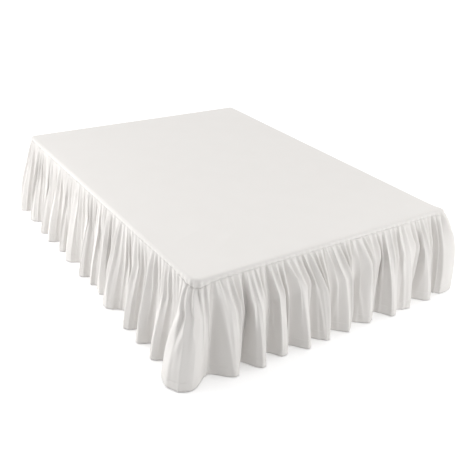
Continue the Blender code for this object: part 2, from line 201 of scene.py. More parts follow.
# %% Tables of the folds
LEFT_FOLDS = (
    # ridge, reach, valley, depth, start, gathers, flank, fall, bow
    (0.934, 0.122, 0.868, 0.063, 0.872, 4, 0.55, 1.45, 0.010),
    (0.764, 0.114, 0.672, 0.053, 0.690, 6, 0.55, 1.45, -0.006),
    (0.566, 0.120, 0.512, 0.063, 0.528, 5, 0.55, 1.45, 0.012),
    (0.450, 0.124, 0.386, 0.053, 0.402, 4, 0.55, 1.45, 0.004),
    (0.301, 0.107, 0.250, 0.063, 0.262, 5, 0.60, 1.45, 0.008),
    (0.186, 0.116, 0.086, 0.048, 0.118, 5, 0.55, 1.45, -0.008),
    (-0.016, 0.114, -0.072, 0.063, -0.046, 6, 0.55, 1.45, 0.012),
    (-0.118, 0.100, -0.158, 0.073, -0.140, 3, 0.50, 1.45, 0.006),
    (-0.222, 0.096, -0.290, 0.058, -0.268, 4, 0.60, 1.45, -0.004),
    (-0.349, 0.122, -0.462, 0.048, -0.430, 6, 0.55, 1.45, 0.010),
    (-0.571, 0.117, -0.636, 0.058, -0.602, 5, 0.55, 1.45, 0.014),
    (-0.701, 0.117, -0.768, 0.053, -0.738, 4, 0.55, 1.45, 0.006),
    (-0.840, 0.116, -0.916, 0.060, -0.872, 4, 0.55, 1.45, 0.010),
)
FOOT_FOLDS = (
    # ridge, reach, valley, depth, start, gathers, flank, fall, bow
    (-0.770, 0.176, -0.712, 0.056, -0.677, 7, 0.30, 1.8, 0.016),
    (-0.615, 0.134, -0.545, 0.048, -0.522, 4, 0.55, 1.45, 0.044),
    (-0.475, 0.143, -0.398, 0.056, -0.396, 4, 0.55, 1.45, 0.030),
    (-0.336, 0.122, -0.272, 0.063, -0.297, 3, 0.55, 1.45, 0.018),
    (-0.205, 0.138, -0.148, 0.068, -0.196, 3, 0.55, 1.45, 0.014),
    (-0.085, 0.128, -0.018, 0.064, -0.066, 4, 0.55, 1.45, 0.015),
    (0.050, 0.126, 0.112, 0.060, 0.104, 5, 0.55, 1.45, 0.028),
    (0.190, 0.118, 0.288, 0.053, 0.277, 5, 0.55, 1.45, 0.042),
    (0.350, 0.138, 0.408, 0.104, 0.412, 4, 0.30, 1.45, 0.014),
    (0.466, 0.124, 0.547, 0.054, 0.547, 4, 0.55, 1.45, 0.048),
    (0.622, 0.122, 0.700, 0.066, 0.672, 4, 0.55, 1.45, 0.010),
)
RIGHT_CORNER_FOLD = (0.775, 0.118, 0.105, 0.050, 0.115, 7, 0.30, 3.0, 0.0)
print(len(LEFT_FOLDS), "folds on the left side and", len(FOOT_FOLDS), "at the foot")

# %% [markdown]
# ## Folds of the hidden side
#
# The right side doesn't show in the picture, so it has no rows of its own. It could be a mirror
# of the left, but two like sides look made by machine. Instead a draw varies even folds a little,
# and its seed makes each run the same.

# %% Folds of the right side
RIGHT_FOLD_COUNT = 13
RIGHT_REACH = (0.104, 0.126)
RIGHT_DEPTH = (0.040, 0.058)
RIGHT_SHIFT = 0.018
RIGHT_TRAITS = (3, 0.75, 1.6)  # gathers, flank, fall
RIGHT_BOW = 0.012
FOLD_SEED = 11


def right_folds():
    """Rows for the right side, in metres from the front corner towards the head."""
    draw = random.Random(FOLD_SEED)
    corner_valley = RIGHT_CORNER_FOLD[2]
    corner_lean = RIGHT_CORNER_FOLD[4] - corner_valley
    pitch = (BED_LENGTH - corner_valley) / (RIGHT_FOLD_COUNT + 0.5)
    rows = []
    for number in range(RIGHT_FOLD_COUNT):
        ridge = corner_valley + (number + 0.5) * pitch + draw.uniform(-RIGHT_SHIFT, RIGHT_SHIFT)
        valley = corner_valley + (number + 1) * pitch + draw.uniform(-RIGHT_SHIFT, RIGHT_SHIFT)
        start = valley + corner_lean * (1 - number / RIGHT_FOLD_COUNT)
        reach, depth = draw.uniform(*RIGHT_REACH), draw.uniform(*RIGHT_DEPTH)
        bow = draw.uniform(-RIGHT_BOW, RIGHT_BOW)
        rows.append((ridge, reach, valley, depth, start, *RIGHT_TRAITS, bow))
    return rows


def placed(row, origin, way=1):
    """A row whose three places are turned into distances round the edge."""
    ridge, reach, valley, depth, start, *rest = row
    ridge, valley, start = (origin + way * place for place in (ridge, valley, start))
    return (ridge, reach, valley, depth, start, *rest)


def fold_rows():
    """Every main fold in order, its places as distances round the edge."""
    middle_left = BED_LENGTH / 2
    middle_foot = BED_LENGTH + BED_WIDTH / 2
    rows = [placed(row, middle_left, -1) for row in LEFT_FOLDS]
    rows += [placed(row, middle_foot) for row in FOOT_FOLDS]
    corner_ridge = middle_foot + RIGHT_CORNER_FOLD[0]
    rows.append((corner_ridge, *placed(RIGHT_CORNER_FOLD, FRONT_RIGHT)[1:]))
    return rows + [placed(row, FRONT_RIGHT) for row in right_folds()]


ROWS = fold_rows()
GATHERS = np.array([row[5] for row in ROWS])
print(len(ROWS), "main folds and", GATHERS.sum(), "gathers")

# %% [markdown]
# ## Lines that the cloth follows
#
# Between the folds the cloth hangs from ridge to hollow to ridge. The next cell lists these lines,
# each with its place at the hem, its reach, its place at the seam, its knee, where the cloth stops
# fanning out and hangs straight, and its bow.
#
# A ridge starts at the seam closer to the hollow before it than to the one after it, so that one
# flank of the fold opens like a wedge towards the hem. Broad folds, which turn in slowly, start
# evenly: the two at the corners, and one at the foot.

# %% Ridge and hollow lines
FREE_EDGE_REACH = 0.100
RIDGE_KNEES = (0.24, 0.42)
VALLEY_KNEES = (0.28, 0.50)
RIDGE_SHARE = 0.30
BROAD_SHARE = 0.50
BROAD_FLANK = 0.30
RIDGE_BOW = 0.40


def fold_lines(rows):
    """Ridge and valley lines from head to head: hem place, reach, seam place, knee and bow."""
    draw = random.Random(FOLD_SEED)
    lines = [(EDGE_START, FREE_EDGE_REACH, EDGE_START, RIDGE_KNEES[0], 0.0)]
    for number, (ridge, reach, valley, depth, start, _, flank, _, bow) in enumerate(rows):
        share = BROAD_SHARE if flank <= BROAD_FLANK else RIDGE_SHARE
        ridge_start = mix(lines[-1][2], start, share)
        lines.append((ridge, reach, ridge_start, draw.uniform(*RIDGE_KNEES), RIDGE_BOW * bow))
        if number == len(rows) - 1:
            valley, depth, start = EDGE_END, FREE_EDGE_REACH, EDGE_END
        lines.append((valley, depth, start, draw.uniform(*VALLEY_KNEES), bow))
    return lines


LINES = np.array(fold_lines(ROWS))
FLANKS = np.array([row[6] for row in ROWS])
FALLS = np.array([row[7] for row in ROWS])
RIDGE_SHARES = np.where(FLANKS <= BROAD_FLANK, BROAD_SHARE, RIDGE_SHARE)
print(len(LINES), "lines run from the seam to the hem")

# %% [markdown]
# ## The main drape
#
# A column of the ruffle is named by its fold and its share of that fold, from 0 in the hollow
# before it to 1 in the hollow after it. For each column this cell finds all that its two lines
# say. A cosine rounds the ridges, and the flank value pushes the columns towards the ridge, so
# that the fold runs out slowly and turns in sharply as in the picture.

# %% Columns of the ruffle
LEFT_FLANK = 0.30
VALLEY_FALL = 1.10
RISE_POWER = 2.0
RISE_SHARE = 0.44
END_TRIM = 1e-9


def column_traits(fold_place):
    """Hem place, reach, seam place, knee, nearness to the ridge, fall and bow of each column."""
    place = np.minimum(2 * fold_place, len(LINES) - 1 - END_TRIM)
    line = np.floor(place).astype(int)
    part = place - line
    first, second = LINES[line], LINES[line + 1]
    falling = line % 2 == 1
    round_part = ease(part)
    own_flank = FLANKS[np.minimum(line // 2, len(ROWS) - 1)]
    sharp = RISE_SHARE * np.maximum(0.0, own_flank - BROAD_FLANK)
    round_part = np.where(falling, round_part, mix(round_part, part**RISE_POWER, sharp))
    flank = np.where(falling, own_flank, LEFT_FLANK)
    bulge = np.sin(2 * math.pi * part) / (2 * math.pi) * (second[:, 0] - first[:, 0]) * flank
    hem = mix(first[:, 0], second[:, 0], part) + np.where(falling, bulge, -bulge)
    reach = mix(first[:, 1], second[:, 1], round_part)
    start = mix(first[:, 2], second[:, 2], part)
    knee = mix(first[:, 3], second[:, 3], round_part)
    ridge = np.where(falling, 1 - round_part, round_part)
    fall = mix(VALLEY_FALL, FALLS[np.minimum(line // 2, len(ROWS) - 1)], ridge)
    bow = mix(first[:, 4], second[:, 4], round_part)
    return hem, reach, start, knee, ridge, fall, bow


print("The first column starts at", round(float(column_traits(np.zeros(1))[2][0]), 3), "m")

# %% [markdown]
# ## Gathers
#
# Where the long cloth is drawn up to the short seam it must go somewhere: it stands in small
# gathers, deep just under the seam and opening towards the hem. On the real skirt no two are
# alike, so each gets its own size, runs down its own way, leans to one side, and may have a knee.
# Steep folds get more of the long ones.

# %% Traits of the gathers
GATHER_SEED = 21
GATHER_JITTER = 0.24
FULL_PITCH = 0.030
SHORT_SIZES = (0.55, 1.15)
SHORT_REACHES = (0.18, 0.60)
LONG_SHARE = 0.60
LONG_SIZES = (1.00, 1.60)
LONG_REACHES = (0.60, 1.10)
KNEE_HEIGHTS = (0.14, 0.38)
KNEE_LENGTHS = (0.05, 0.11)
KNEE_BENDS = (-0.6, 1.0)


def gather_traits():
    """Each gather's start, size, reach down, lean, knee height, knee length and knee size."""
    draw = random.Random(GATHER_SEED)
    traits = []
    edges = [EDGE_START] + [row[4] for row in ROWS[:-1]] + [EDGE_END]
    for fold, row in enumerate(ROWS):
        pitch = (edges[fold + 1] - edges[fold]) / row[5]
        room = min(1.0, pitch / FULL_PITCH)
        for number in range(row[5]):
            shift = draw.uniform(-GATHER_JITTER, GATHER_JITTER) if number else 0.0
            long = draw.random() < LONG_SHARE * row[6]
            size = room * draw.uniform(*(LONG_SIZES if long else SHORT_SIZES))
            reach_down = draw.uniform(*(LONG_REACHES if long else SHORT_REACHES))
            lean = draw.uniform(-1, 1)
            knee, length = draw.uniform(*KNEE_HEIGHTS), draw.uniform(*KNEE_LENGTHS)
            bend = max(0.0, draw.uniform(*KNEE_BENDS))
            traits.append((len(traits) + shift, size, reach_down, lean, knee, length, bend))
    return np.array(traits)


TRAITS = gather_traits()
print("Largest gather:", round(TRAITS[:, 1].max(), 2), "times the usual size")

# %% [markdown]
# Gathers lie evenly along the seam, and not along the hem. So a column first finds the gather
# that it starts in, and its share of that gather.

# %% Find a column's gather
FIRST_GATHER = np.concatenate([[0], np.cumsum(GATHERS)])


def gather_at(fold_place):
    """Which gather each column lies in, and its share of that gather."""
    fold = np.minimum(np.floor(fold_place).astype(int), len(ROWS) - 1)
    part = 2 * (fold_place - fold)
    share = RIDGE_SHARES[fold]
    seam_share = np.where(part < 1, share * part, mix(share, 1.0, part - 1))
    place = FIRST_GATHER[fold] + GATHERS[fold] * seam_share
    starts = np.append(TRAITS[:, 0], len(TRAITS))
    number = np.clip(np.searchsorted(starts, place, side="right") - 1, 0, len(TRAITS) - 1)
    return number, (place - starts[number]) / (starts[number + 1] - starts[number])


print("The first column lies in gather", int(gather_at(np.zeros(1))[0][0]))

# %% [markdown]
# A gather is one wave across its columns, round and full at the seam and narrower at the hem. It
# moves the cloth outward, lets the cloth beside it fall back, and leans along the seam. Round the
# front left corner the gathers are calmer, most of all near the hem, where the picture has one
# smooth lobe, and down the left side they are a little flatter than at the foot.

# %% Shape of the gathers
GATHER_DEPTH = 0.0165
GATHER_BACK = 0.50
FRONT_RISE = 0.080
BACK_RISE = 0.075
MEAN_FALL = 1.35
HEM_GATHER = 0.30
SEAM_FULLNESS = 0.70
HEM_FULLNESS = 1.80
FULLNESS_RISE = 1.5
GATHER_SKEW = 0.22
SKEW_RISE = 0.5
GATHER_FADE = 0.05
GATHER_REST = 0.20
GATHER_LEAN = 0.012
LEAN_RISE = 0.3
KNEE_SIDE = 0.010
KNEE_OUT = 0.005
KNEE_RISE = 0.08
CORNER_CALM = 0.50
HEM_CALM = 0.90
CALM_WIDTH = 0.150
LEFT_CALM = 0.30
CALM_FADE = 0.030


def add_gathers(fold_place, start, height, outward, along):
    """Small gathers: each stands out, leans to a side, and may bend at a knee."""
    number, inside = gather_at(fold_place)
    inside = inside[:, None]
    size, reach_down, lean, knee, length, bend = TRAITS[number, 1:].T[:, :, None]
    skew = GATHER_SKEW * np.minimum(1.0, height / SKEW_RISE)
    skewed = inside - skew * np.sin(math.pi * inside) ** 2
    fullness = mix(SEAM_FULLNESS, HEM_FULLNESS, np.minimum(1.0, FULLNESS_RISE * height))
    crest = ease(2 * skewed) ** fullness
    mean_fall = 1 - (1 - height) ** MEAN_FALL
    depth = GATHER_DEPTH * mix(HEM_GATHER, 1.0, np.sqrt(1 - mean_fall**2))
    stay = mix(GATHER_REST, 1.0, 1 / (1 + np.exp((height - reach_down) / GATHER_FADE)))
    front = size * stay * crest * (1 - np.exp(-height / FRONT_RISE))
    back = GATHER_BACK * (1 - np.exp(-height / BACK_RISE)) * (1 - height)
    near = bell(start - FRONT_LEFT, CALM_WIDTH)[:, None]
    calm = 1 - near * mix(CORNER_CALM, HEM_CALM, height)
    calm *= 1 - LEFT_CALM / (1 + np.exp((start - FRONT_LEFT) / CALM_FADE))[:, None]
    outward += calm * depth * (front - back) + seam_waver(start[:, None], crest)
    along += lean * GATHER_LEAN * crest * stay * np.minimum(1.0, height / LEAN_RISE)
    kink = calm * bend * crest * np.exp(-np.abs(height - knee) / length)
    kink = kink * np.minimum(1.0, height / KNEE_RISE)
    outward += KNEE_OUT * kink
    along += KNEE_SIDE * kink


print("Gathers stand out by", GATHER_DEPTH * 1000, "mm below the seam")

# %% [markdown]
# ## Puckers
#
# Between the gathers lie finer puckers, up to a hand's width long, where the seam's thread holds
# the cloth. They could be a bump texture, but they show in the outline of the seam, so they are
# soft ridges of the surface itself, at uneven steps.

# %% Puckers at the seam
PUCKER_SEED = 5
PUCKER_PITCH = (0.011, 0.024)
PUCKER_WIDTH = (0.22, 0.38)
PUCKER_OUT = (0.0020, 0.0050)
PUCKER_END = (0.07, 0.26)
PUCKER_SPREAD = 4
PUCKER_RISE = 0.02


def add_puckers(start, height, outward):
    """Fine puckers at the seam, at uneven steps, each a short soft ridge."""
    draw = random.Random(PUCKER_SEED)
    place = EDGE_START
    while place < EDGE_END:
        step = draw.uniform(*PUCKER_PITCH)
        width = step * draw.uniform(*PUCKER_WIDTH)
        size = draw.uniform(*PUCKER_OUT)
        end = draw.uniform(*PUCKER_END)
        near = np.abs(start - place) < PUCKER_SPREAD * width
        across = bell(start[near] - place, width)[:, None]
        down = np.minimum(1.0, height / PUCKER_RISE) * bell(height, end)
        outward[near] += size * across * down
        place += step


print("Puckers stand out by up to", PUCKER_OUT[1] * 1000, "mm")

# %% [markdown]
# ## Creases listed one by one
#
# Last come the creases and hollows that the picture shows, each listed in a short table:
# the fold it is in, counted from 0 at the head on the left, its share of that fold at its top and
# its foot, how far down both lie, its width, and how far it stands out. A minus sign makes a
# trough, and a foot past 1 lets it run out through the hem. The wide troughs hollow out the wedge
# beside a fold, and one rounds the crest of the corner's broad lobe.

# %% Creases listed one by one
CREASES = (
    # fold, share at top, share at foot, top, foot, width, outward
    (13, 0.44, 0.20, 0.10, 0.84, 0.045, 0.005),
    (13, 0.50, 0.33, 0.12, 0.80, 0.045, -0.006),
    (13, 0.52, 0.44, 0.30, 0.62, 0.030, 0.005),
    (13, 0.54, 0.50, 0.20, 1.30, 0.110, -0.007),
    (13, 0.62, 0.60, 0.04, 0.60, 0.040, 0.005),
    (13, 0.76, 0.72, 0.06, 0.75, 0.050, -0.006),
    (13, 0.88, 0.90, 0.04, 0.84, 0.050, 0.006),
    (14, 0.16, 0.09, 0.16, 0.98, 0.085, -0.016),
    (14, 0.26, 0.44, 0.25, 0.98, 0.050, 0.006),
    (14, 0.64, 0.70, 0.10, 0.55, 0.050, -0.004),
    (15, 0.14, 0.08, 0.16, 0.96, 0.080, -0.012),
    (15, 0.34, 0.18, 0.30, 0.92, 0.050, 0.006),
    (15, 0.72, 0.60, 0.08, 0.50, 0.050, 0.005),
    (16, 0.08, 0.30, 0.40, 0.98, 0.060, 0.006),
    (16, 0.28, 0.12, 0.45, 0.85, 0.040, -0.005),
    (17, 0.38, 0.24, 0.25, 0.80, 0.050, 0.005),
    (18, 0.28, 0.38, 0.35, 0.98, 0.050, 0.006),
    (19, 0.24, 0.10, 0.30, 0.85, 0.060, 0.007),
    (19, 0.74, 0.58, 0.05, 0.45, 0.050, 0.004),
    (20, 0.13, 0.08, 0.20, 0.94, 0.080, -0.009),
    (20, 0.16, 0.34, 0.45, 0.98, 0.050, 0.005),
    (21, 0.12, 0.08, 0.16, 0.94, 0.080, -0.011),
    (21, 0.32, 0.20, 0.20, 0.75, 0.050, 0.006),
    (22, 0.30, 0.14, 0.40, 0.95, 0.060, -0.005),
    (23, 0.13, 0.08, 0.14, 0.94, 0.080, -0.012),
    (23, 0.36, 0.20, 0.35, 0.95, 0.050, 0.006),
    (23, 0.18, 0.30, 0.10, 0.45, 0.040, 0.004),
    (24, 0.40, 0.28, 0.20, 0.80, 0.050, 0.005),
    (24, 0.66, 0.72, 0.10, 0.70, 0.060, -0.005),
    (12, 0.32, 0.18, 0.30, 0.92, 0.050, 0.005),
    (11, 0.36, 0.24, 0.25, 0.85, 0.050, 0.005),
    (10, 0.26, 0.38, 0.35, 0.96, 0.060, 0.005),
    (9, 0.30, 0.14, 0.30, 0.80, 0.050, 0.006),
    (8, 0.34, 0.20, 0.40, 0.92, 0.060, -0.004),
    (6, 0.32, 0.16, 0.30, 0.90, 0.050, 0.005),
    (5, 0.34, 0.22, 0.35, 0.92, 0.050, 0.005),
    (3, 0.30, 0.18, 0.30, 0.85, 0.050, 0.005),
    (2, 0.36, 0.26, 0.40, 0.92, 0.050, 0.004),
    (0, 0.30, 0.18, 0.30, 0.90, 0.060, 0.005),
)


def add_creases(fold_place, height, outward):
    """The creases of the table: soft ridges and troughs along slanting lines."""
    for fold, top_share, foot_share, top, foot, width, size in CREASES:
        down = np.clip((height - top) / (foot - top), 0.0, 1.0)
        line = fold + mix(top_share, foot_share, down)
        across = bell(fold_place[:, None] - line, width)
        outward += size * across * np.sin(math.pi * down) ** 0.5


print("Creases placed by hand:", len(CREASES))

# %% [markdown]
# ## The hem, and the whole surface
#
# The hem is turned up and stitched down. Its band lies a little proud of the cloth above, and the
# line of stitches draws a shallow groove.

# %% Band and groove of the hem
HEM_SHARE = 0.896
HEM_EDGE = 0.0025
HEM_PROUD = 0.0010
GROOVE_DEPTH = 0.0008
GROOVE_WIDTH = 0.0035


def add_hem(height, outward):
    """The hem's band lies a little proud, below the groove of its stitched line."""
    outward += HEM_PROUD / (1 + np.exp((HEM_SHARE - height) / HEM_EDGE))
    outward -= GROOVE_DEPTH * bell(height - HEM_SHARE, GROOVE_WIDTH)


print("The stitched line lies", round(HEM_SHARE, 2), "of the way down")

# %% [markdown]
# Now the surface can be put together. A point hangs from its place on the seam, leans towards its
# place at the hem, swings out along the fold's reach, and bows aside round the knee. The gathers,
# puckers, creases and the hem are added to that, and the top is tucked in behind the deck's edge.

# %% Points of the ruffle
LEAN_SHARE = 0.65
KNEE_ROUND = 10.0
SEAM_TUCK = 0.0007
SEAM_OVERLAP = 0.0015
TUCK_FADE = 0.004
FLOOR_CLEAR = 0.0012
HEM_LIFT = 0.002


def ruffle_points(fold_place, height):
    """The ruffle's middle surface: one row of the result for each column of the cloth."""
    hem, reach, start, knee, ridge, fall, bow = column_traits(fold_place)
    down = height[None, :]
    lean = LEAN_SHARE * np.minimum(1.0, down / knee[:, None]) + (1 - LEAN_SHARE) * down
    outward = reach[:, None] * (1 - (1 - down) ** fall[:, None])
    along = mix(start[:, None], hem[:, None], lean)
    to_knee, to_hem = down / knee[:, None], (1 - down) / (1 - knee[:, None])
    along -= bow[:, None] * np.logaddexp(-KNEE_ROUND * to_knee, -KNEE_ROUND * to_hem) / KNEE_ROUND
    add_gathers(fold_place, start, down, outward, along)
    add_puckers(start, down, outward)
    add_creases(fold_place, down, outward)
    add_hem(down, outward)
    outward -= SEAM_TUCK * np.exp(-down / TUCK_FADE)
    top = seam_height(start) + SEAM_OVERLAP
    bottom = FLOOR_CLEAR + HEM_LIFT * ridge
    z = mix(top[:, None], bottom[:, None], down)
    x, y = edge_point(along, outward)
    return np.stack([x, y, z], axis=-1)


print("The hem hangs", FLOOR_CLEAR * 1000, "mm over the floor")

# %% [markdown]
# ## Cloth from a grid of points
#
# A ruffle panel is a grid: columns run down from the seam, rows run along it. It could be a
# primitive bent by hand, but each point has a formula, so the mesh is built from the points. A UV
# map in metres of cloth goes with it, because the weave follows the cloth and not the room.
# Solidify then gives the sheet its thickness.

# %% Make sheets of cloth
CLOTH_THICKNESS = 0.0010


def new_piece(name, points, faces):
    """A smooth piece from its points and faces."""
    mesh = bpy.data.meshes.new(name)
    mesh.from_pydata(points, [], faces)
    mesh.shade_smooth()
    piece = bpy.data.objects.new(name, mesh)
    bpy.context.scene.collection.objects.link(piece)
    return piece


def lay_flat(piece, corners, flat):
    """A UV map that gives each corner of a face its place on the flat cloth, in metres."""
    uv = piece.data.uv_layers.new(name="cloth")
    uv.data.foreach_set("uv", flat[corners].ravel())


def thicken(piece, thickness, offset):
    """Give a sheet its thickness, and apply the modifier as by hand in its panel."""
    wall = piece.modifiers.new("thickness", "SOLIDIFY")
    wall.thickness = thickness
    wall.offset = offset
    bpy.ops.object.select_all(action="DESELECT")
    piece.select_set(True)
    bpy.context.view_layer.objects.active = piece
    bpy.ops.object.modifier_apply(modifier=wall.name)


def cloth_lengths(points):
    """How far along its rows and down its columns each point of a grid lies, in metres of cloth."""
    across = np.linalg.norm(np.diff(points, axis=0), axis=2).mean(axis=1)
    down = np.linalg.norm(np.diff(points, axis=1), axis=2).mean(axis=0)
    return np.concatenate([[0.0], np.cumsum(across)]), np.concatenate([[0.0], np.cumsum(down)])


def grid_sheet(name, points):
    """A smooth sheet through a grid of points, with a UV map in metres, and its flat size."""
    columns, rows = points.shape[:2]
    number = np.arange(columns * rows).reshape(columns, rows)
    corners = (number[:-1, :-1], number[:-1, 1:], number[1:, 1:], number[1:, :-1])
    faces = np.stack([corner.ravel() for corner in corners], axis=1)
    piece = new_piece(name, points.reshape(-1, 3).tolist(), faces.tolist())
    across, down = cloth_lengths(points)
    cloth_u, cloth_v = np.meshgrid(across, down[-1] - down, indexing="ij")
    lay_flat(piece, faces.ravel(), np.stack([cloth_u.ravel(), cloth_v.ravel()], axis=1))
    return piece, (float(across[-1]), float(down[-1]))


print("Sheets are", CLOTH_THICKNESS * 1000, "mm thick")

# %% [markdown]
# ## Rows and columns
#
# Rows lie close together under the seam, where puckers are small, and at the hem, which has its
# stitched line. Columns are spread evenly in each gather, since a gather is the finest wave that
# the surface has.

# %% Rows and columns of a panel
ROW_COUNT = 52
ROW_CROWDING = 0.35
HEM_ROWS = (-3.0, -2.0, -1.0, -0.5, 0.0, 0.5, 1.0, 2.0, 3.0)
COLUMNS_PER_GATHER = 12


def cloth_rows():
    """Rows of the grid: closer under the seam and at the hem, closest at the stitched line."""
    even = np.linspace(0.0, 1.0, ROW_COUNT)
    rows = mix(even, ease(even), ROW_CROWDING)
    stitched = HEM_SHARE + GROOVE_WIDTH * np.array(HEM_ROWS)
    clear = np.abs(rows - HEM_SHARE) > GROOVE_WIDTH * (HEM_ROWS[-1] + 1)
    return np.sort(np.concatenate([rows[clear], stitched]))


CLOTH_ROWS = cloth_rows()
STITCH_ROW = int(np.argmin(np.abs(CLOTH_ROWS - HEM_SHARE)))


def panel_columns(first_fold, last_fold):
    """Fold places of one panel's columns, evenly spaced in each gather."""
    places = []
    for fold in range(first_fold, last_fold):
        steps = GATHERS[fold] * COLUMNS_PER_GATHER
        places += [fold + step / steps for step in range(steps)]
    return np.array(places + [float(last_fold)])


print(len(CLOTH_ROWS), "rows, the stitched one is number", STITCH_ROW)

# %% [markdown]
# ## The three panels of the ruffle
#
# The real ruffle is sewn from three lengths of cloth that meet in the deep hollows just round the
# front corners. Each length gets its own grid, and its end columns stop just short of the hollow.

# %% Build the ruffle
PANEL_TRIM = 1e-6
CORNER_FOLD = len(LEFT_FOLDS)
FOOT_END = CORNER_FOLD + len(FOOT_FOLDS)
PANELS = (
    # side, first fold, last fold
    ("left", 0, CORNER_FOLD + 1),
    ("foot", CORNER_FOLD + 1, FOOT_END),
    ("right", FOOT_END, len(ROWS)),
)


def build_ruffle(side, first_fold, last_fold):
    """One panel as a thin closed sheet. Gives the piece, its points and its flat size."""
    places = panel_columns(first_fold, last_fold)
    places[0] += PANEL_TRIM
    places[-1] -= PANEL_TRIM
    points = ruffle_points(places, CLOTH_ROWS)
    piece, flat = grid_sheet("ruffle_cloth_" + side, points)
    thicken(piece, CLOTH_THICKNESS, 0.0)
    return piece, points, flat


ruffles = {}
for side, first_fold, last_fold in PANELS:
    ruffles[side] = build_ruffle(side, first_fold, last_fold)
    piece, points, flat = ruffles[side]
    cut = [round(value, 2) for value in flat]
    print(piece.name, "is cut", cut, "m, faces:", len(piece.data.polygons))

# %% [markdown]
# ## Stitches along the hem
#
# The hem is turned up 4.5 cm deep and held by one line of stitches. A painted line would be
# enough from afar, but real stitches catch the light when the part is seen from close by. Each is a
# small bead of thread that lies along the groove, at even steps of cloth.

# %% One stitch
STITCH_LENGTH = 0.0034
THREAD_RADIUS = 0.00035
BEAD_SECTIONS = ((-0.5, 0.45), (-0.25, 1.0), (0.25, 1.0), (0.5, 0.45))


def bead(middle, along, out, up):
    """Corners of one stitch: four square sections, thinner at both ends."""
    places = []
    for share, size in BEAD_SECTIONS:
        for side, rise in ((1, 0), (0, 1), (-1, 0), (0, -1)):
            off = (out * side + up * rise) * THREAD_RADIUS * size
            places.append(middle + along * share * STITCH_LENGTH + off)
    return places


def bead_faces(first):
    """Faces of one stitch, whose corners start at this number."""
    faces = [(first + 3, first + 2, first + 1, first)]
    for ring in range(len(BEAD_SECTIONS) - 1):
        for corner in range(4):
            low, after = first + 4 * ring + corner, first + 4 * ring + (corner + 1) % 4
            faces.append((low, after, after + 4, low + 4))
    last = first + 4 * (len(BEAD_SECTIONS) - 1)
    faces.append((last, last + 1, last + 2, last + 3))
    return faces


print("A stitch is", STITCH_LENGTH * 1000, "mm long")

# %% [markdown]
# The line of stitches follows the grid row that lies in the groove. Each stitch looks up its two
# ends on that row, and takes its outward direction from the row and the column that cross there.

# %% Sew the hem
STITCH_PITCH = 0.0046
BEAD_RISE = 0.3


def sew_hem(side, points):
    """A line of stitches along one panel's hem."""
    line = points[:, STITCH_ROW]
    down = points[:, STITCH_ROW + 1] - points[:, STITCH_ROW - 1]
    length = np.concatenate([[0.0], np.cumsum(np.linalg.norm(np.diff(line, axis=0), axis=1))])
    places, faces = [], []
    for middle in np.arange(STITCH_PITCH, length[-1] - STITCH_PITCH, STITCH_PITCH):
        ends = [np.array([np.interp(middle + off, length, line[:, axis]) for axis in range(3)])
                for off in (-STITCH_LENGTH / 2, STITCH_LENGTH / 2)]
        along = (ends[1] - ends[0]) / np.linalg.norm(ends[1] - ends[0])
        column = int(np.searchsorted(length, middle))
        out = np.cross(along, -down[column])
        out = out / np.linalg.norm(out)
        centre = (ends[0] + ends[1]) / 2 + out * (CLOTH_THICKNESS / 2 + BEAD_RISE * THREAD_RADIUS)
        faces += bead_faces(len(places))
        places += bead(centre, along, out, np.cross(out, along))
    return new_piece("hem_stitches_" + side, [tuple(place) for place in places], faces)


stitches = {side: sew_hem(side, ruffles[side][1]) for side in ruffles}
for side, piece in stitches.items():
    print(piece.name, len(piece.data.vertices) // (4 * len(BEAD_SECTIONS)), "stitches")

# %% [markdown]
# ## The deck
#
# The deck is one flat sheet that rolls over the edge of the base down to the seam. A box with
# rounded edges would look the same from far off, but cloth is thin, its rim wavers where the
# gathers tug at it, and faint creases from the packet are left in it. So it is a sheet as well,
# made of closed loops of points, one inside the other.

# %% One loop of the deck
STATIONS = np.linspace(EDGE_START, EDGE_END, 900)
HEAD_STATIONS = 90
CORNER_STEPS = 6
SEAM_SAMPLES = 4000
SEAM_PLACES = np.linspace(0.0, len(ROWS), SEAM_SAMPLES)
SEAM_STARTS = column_traits(SEAM_PLACES)[2]


def deck_loop(inset, tug=0.0):
    """Plan of one closed loop inside the bed's edge. tug is how much it wavers with the gathers."""
    seam_fold = np.interp(STATIONS, SEAM_STARTS, SEAM_PLACES)
    inside = gather_at(seam_fold)[1]
    crest = ease(2 * inside) ** SEAM_FULLNESS
    side_x, side_y = edge_point(STATIONS, -inset + tug * seam_waver(STATIONS, crest))
    turns = np.linspace(0.0, math.pi / 2, CORNER_STEPS + 1)[1:]
    radius = HEAD_CORNER - inset
    corner_x = BED_WIDTH / 2 - HEAD_CORNER
    corner_y = BED_LENGTH / 2 - HEAD_CORNER + CENTRE_Y
    turn_x, turn_y = corner_x + radius * np.cos(turns), corner_y + radius * np.sin(turns)
    head_x = np.linspace(corner_x, -corner_x, HEAD_STATIONS)[1:-1]
    head_y = np.full(len(head_x), corner_y + radius)
    x = np.concatenate([side_x, turn_x, head_x, -turn_x[::-1]])
    y = np.concatenate([side_y, turn_y, head_y, turn_y[::-1]])
    return x, y


print("A loop of the deck has", len(deck_loop(0.0)[0]), "points")

# %% [markdown]
# On top the cloth lies on the base in slow waves of less than a millimetre. The creases of the
# packet are again listed in a table, from one place to another.

# %% Waves and creases of the deck
TOP_LIFT = 0.0008
SOFT_WAVE = 0.0007
SLOW_WAVES = (
    # per metre of x, per metre of y, shift
    (5.1, 2.3, 0.4),
    (-1.9, 4.2, 1.1),
)

